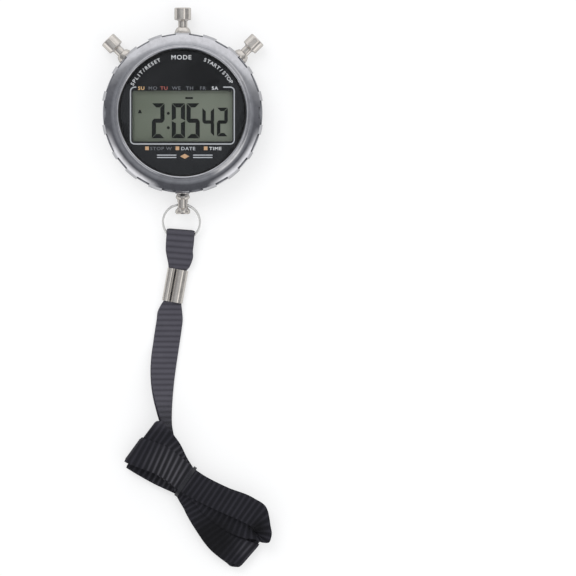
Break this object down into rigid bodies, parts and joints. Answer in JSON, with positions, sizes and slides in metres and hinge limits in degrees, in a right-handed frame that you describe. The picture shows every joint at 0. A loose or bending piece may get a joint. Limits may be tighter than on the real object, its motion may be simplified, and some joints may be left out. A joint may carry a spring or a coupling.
{
  "type": "digital stopwatch",
  "caption": "Round metal digital stopwatch with radial push buttons, a flat liquid crystal display and a folded ribbon neck lanyard on a split ring.",
  "frame": {"origin": "centre of the flat back cover's outer face, on the case axis", "axes": "+Z out of the display face, +Y towards the top pusher, +X to the right seen from the front"},
  "size_m": [0.0646, 0.2143, 0.0168],
  "materials": {
    "chrome_case": "polished",
    "nickel": "polished nickel",
    "steel": "brushed",
    "spring_steel": "plain",
    "brass": "plain",
    "crystal_clear": "clear",
    "display_glass": "grey-green",
    "reflector_foil": "satin",
    "dial_black": "gloss",
    "frame_white": "matte",
    "board_green": "solder mask",
    "epoxy_black": "gloss",
    "rubber_black": "matte",
    "rubber_grey": "matte",
    "ceramic_white": "silvered ceramic",
    "ribbon_black": "ribbed ribbon",
    "tie_black": "plain"
  },
  "bodies": {
    "watch": {"front_shell": "chrome_case", "case_band": "chrome_case", "back_cover": "steel", "back_gasket": "rubber_black", "case_screws": "steel", "crystal_ring": "chrome_case", "crystal_gasket": "rubber_black", "crystal": "crystal_clear", "dial_mask": "dial_black", "lcd_front_glass": "display_glass", "lcd_rear_glass": "display_glass", "lcd_reflector": "reflector_foil", "zebra_connectors": "rubber_grey", "module_frame": "frame_white", "circuit_board": "board_green", "chip_cover": "epoxy_black", "quartz_can": "steel", "battery_cell": "steel", "battery_clip": "spring_steel", "battery_contact": "brass", "buzzer_plate": "brass", "buzzer_ceramic": "ceramic_white", "buzzer_spring": "spring_steel", "switch_blades": "brass", "module_screws": "steel", "pendant_stud": "nickel", "pendant_nut": "brass", "mode_guide_tube": "nickel", "mode_return_spring": "spring_steel", "start_stop_guide_tube": "nickel", "start_stop_return_spring": "spring_steel", "split_reset_guide_tube": "nickel", "split_reset_return_spring": "spring_steel"},
    "mode_button": {"mode_pusher": "nickel", "mode_retaining_clip": "spring_steel", "mode_seal": "rubber_black"},
    "start_stop_button": {"start_stop_pusher": "nickel", "start_stop_retaining_clip": "spring_steel", "start_stop_seal": "rubber_black"},
    "split_reset_button": {"split_reset_pusher": "nickel", "split_reset_retaining_clip": "spring_steel", "split_reset_seal": "rubber_black"},
    "ring": {"split_ring": "nickel"},
    "lanyard": {"ring_loop": "ribbon_black", "strap_crimp": "nickel", "neck_strap": "ribbon_black", "hank_tie": "tie_black"}
  },
  "joints": [
    {"name": "mode_press", "type": "slide", "parent": "watch", "child": "mode_button", "axis": [0, -1, 0], "range_m": [0, 0.0015], "stiffness_N_per_m": 600, "deforming": ["mode_return_spring"]},
    {"name": "start_stop_press", "type": "slide", "parent": "watch", "child": "start_stop_button", "axis": [-0.7133, -0.7009, 0], "range_m": [0, 0.0015], "stiffness_N_per_m": 600, "deforming": ["start_stop_return_spring"]},
    {"name": "split_reset_press", "type": "slide", "parent": "watch", "child": "split_reset_button", "axis": [0.7133, -0.7009, 0], "range_m": [0, 0.0015], "stiffness_N_per_m": 600, "deforming": ["split_reset_return_spring"]},
    {"name": "ring_swing", "type": "hinge", "parent": "watch", "child": "ring", "pos_m": [0, -0.035, 0.0056], "axis": [-0.9969, 0.0785, 0], "range_deg": [-84, 116]},
    {"name": "strap_swing", "type": "hinge", "parent": "ring", "child": "lanyard", "pos_m": [-0.00106, -0.04849, 0.0018], "axis": [-0.9969, 0.0785, 0], "range_deg": [-45, 60], "deforming": ["ring_loop"]}
  ]
}
